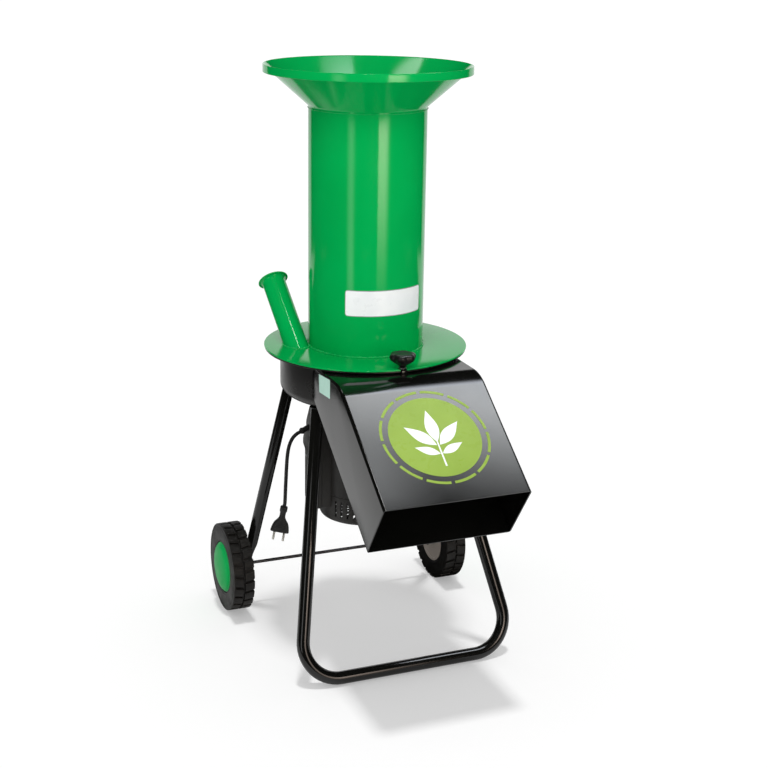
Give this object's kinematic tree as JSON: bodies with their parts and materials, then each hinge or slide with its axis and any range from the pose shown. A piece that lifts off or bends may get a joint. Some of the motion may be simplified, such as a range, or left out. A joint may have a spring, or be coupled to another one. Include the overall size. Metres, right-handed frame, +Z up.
{
  "type": "electric garden shredder",
  "caption": "Upright electric garden shredder: funnel and feed column over a knife and hammer chamber, slanted branch tube, discharge chute, vertical motor, tube legs and wheels.",
  "frame": {"origin": "on the floor, at the middle of the footprint of everything but the cord and plug; the rotor's upright axis is 106 mm behind it", "axes": "+Z up along the rotor's axis, the discharge chute faces -Y, +X is to the right seen from the chute's side"},
  "size_m": [0.5166, 0.6598, 1.0816],
  "materials": {
    "green_paint": "gloss enamel",
    "black_paint": "gloss enamel",
    "chamber_paint": "satin enamel",
    "cover_plastic": "satin moulding",
    "knob_plastic": "semi-gloss moulding",
    "tyre": "moulded rubber",
    "rim_plastic": "satin moulding",
    "cap_green": "gloss moulding",
    "cord_rubber": "matt",
    "plated_pin": "nickel plated",
    "zinc_steel": "zinc plated",
    "rotor_steel": "machined",
    "blade_steel": "ground and hardened",
    "motor_alloy": "die cast",
    "motor_iron": "laminated pack"
  },
  "bodies": {
    "chassis": {"chamber_pan": "chamber_paint", "discharge_chute": "black_paint", "front_leg": "black_paint", "rear_leg_left": "black_paint", "rear_leg_right": "black_paint", "wheel_axle": "zinc_steel", "motor_frame": "motor_alloy", "motor_lower_shield": "motor_alloy", "motor_stator": "motor_iron", "motor_cover": "cover_plastic", "bearing_upper": "rotor_steel", "bearing_lower": "rotor_steel", "switch_box": "cover_plastic", "switch_box_cover": "cover_plastic", "start_capacitor": "rim_plastic", "cable_gland": "cord_rubber", "power_cord": "cord_rubber", "plug_body": "cord_rubber", "plug_pin_left": "plated_pin", "plug_pin_right": "plated_pin", "clamp_bracket": "black_paint", "hinge_leaf_lower": "black_paint", "hinge_pin": "zinc_steel"},
    "hopper": {"hopper_disc": "green_paint", "feed_column": "green_paint", "funnel": "green_paint", "branch_tube": "green_paint", "hinge_leaf_upper": "green_paint", "shear_bar": "blade_steel"},
    "clamp_seat": {"clamp_washer": "zinc_steel"},
    "clamp_screw": {"clamp_knob": "knob_plastic", "clamp_stud": "zinc_steel"},
    "rotor": {"rotor_shaft": "rotor_steel", "rotor_plate": "rotor_steel", "rotor_hub": "rotor_steel", "rotor_nut": "rotor_steel", "chipping_knife_a": "blade_steel", "chipping_knife_b": "blade_steel", "knife_screw_1": "zinc_steel", "knife_screw_2": "zinc_steel", "knife_screw_3": "zinc_steel", "knife_screw_4": "zinc_steel", "hammer_pin_1": "rotor_steel", "hammer_pin_2": "rotor_steel", "hammer_pin_3": "rotor_steel", "hammer_pin_4": "rotor_steel", "motor_rotor_core": "motor_iron", "cooling_fan": "rim_plastic"},
    "swing_hammer_1": {"hammer_1": "blade_steel"},
    "swing_hammer_2": {"hammer_2": "blade_steel"},
    "swing_hammer_3": {"hammer_3": "blade_steel"},
    "swing_hammer_4": {"hammer_4": "blade_steel"},
    "wheel_left": {"tyre_left": "tyre", "rim_left": "rim_plastic", "hub_cap_left": "cap_green"},
    "wheel_right": {"tyre_right": "tyre", "rim_right": "rim_plastic", "hub_cap_right": "cap_green"},
    "rocker": {"switch_rocker": "knob_plastic"}
  },
  "joints": [
    {"name": "hopper_tilt", "type": "hinge", "parent": "chassis", "child": "hopper", "pos_m": [0, 0.3025, 0.5665], "axis": [-1, 0, 0], "range_deg": [0, 95]},
    {"name": "clamp_lift", "type": "slide", "parent": "hopper", "child": "clamp_seat", "axis": [0, 0, 1], "range_m": [0, 0.0063]},
    {"name": "clamp_turn", "type": "hinge", "parent": "clamp_seat", "child": "clamp_screw", "pos_m": [0, -0.0765, 0.567], "axis": [0, 0, 1], "range_deg": [0, 1800]},
    {"name": "rotor_spin", "type": "hinge", "parent": "chassis", "child": "rotor", "pos_m": [0, 0.106, 0.5], "axis": [0, 0, 1], "continuous": true},
    {"name": "hammer_swing_1", "type": "hinge", "parent": "rotor", "child": "swing_hammer_1", "pos_m": [0.088, 0.106, 0.5245], "axis": [0, 0, 1], "continuous": true},
    {"name": "hammer_swing_2", "type": "hinge", "parent": "rotor", "child": "swing_hammer_2", "pos_m": [0, 0.194, 0.5245], "axis": [0, 0, 1], "continuous": true},
    {"name": "hammer_swing_3", "type": "hinge", "parent": "rotor", "child": "swing_hammer_3", "pos_m": [-0.088, 0.106, 0.5245], "axis": [0, 0, 1], "continuous": true},
    {"name": "hammer_swing_4", "type": "hinge", "parent": "rotor", "child": "swing_hammer_4", "pos_m": [0, 0.018, 0.5245], "axis": [0, 0, 1], "continuous": true},
    {"name": "wheel_left_roll", "type": "hinge", "parent": "chassis", "child": "wheel_left", "pos_m": [-0.227, 0.2423, 0.0875], "axis": [1, 0, 0], "continuous": true},
    {"name": "wheel_right_roll", "type": "hinge", "parent": "chassis", "child": "wheel_right", "pos_m": [0.227, 0.2423, 0.0875], "axis": [1, 0, 0], "continuous": true},
    {"name": "rocker_switch", "type": "hinge", "parent": "chassis", "child": "rocker", "pos_m": [-0.105, 0.1075, 0.308], "axis": [0, 1, 0], "range_deg": [0, 14]}
  ],
  "couplings": [
    {"joint": "clamp_lift", "follows": "clamp_turn", "m_per_rad": 0.00019894}
  ]
}
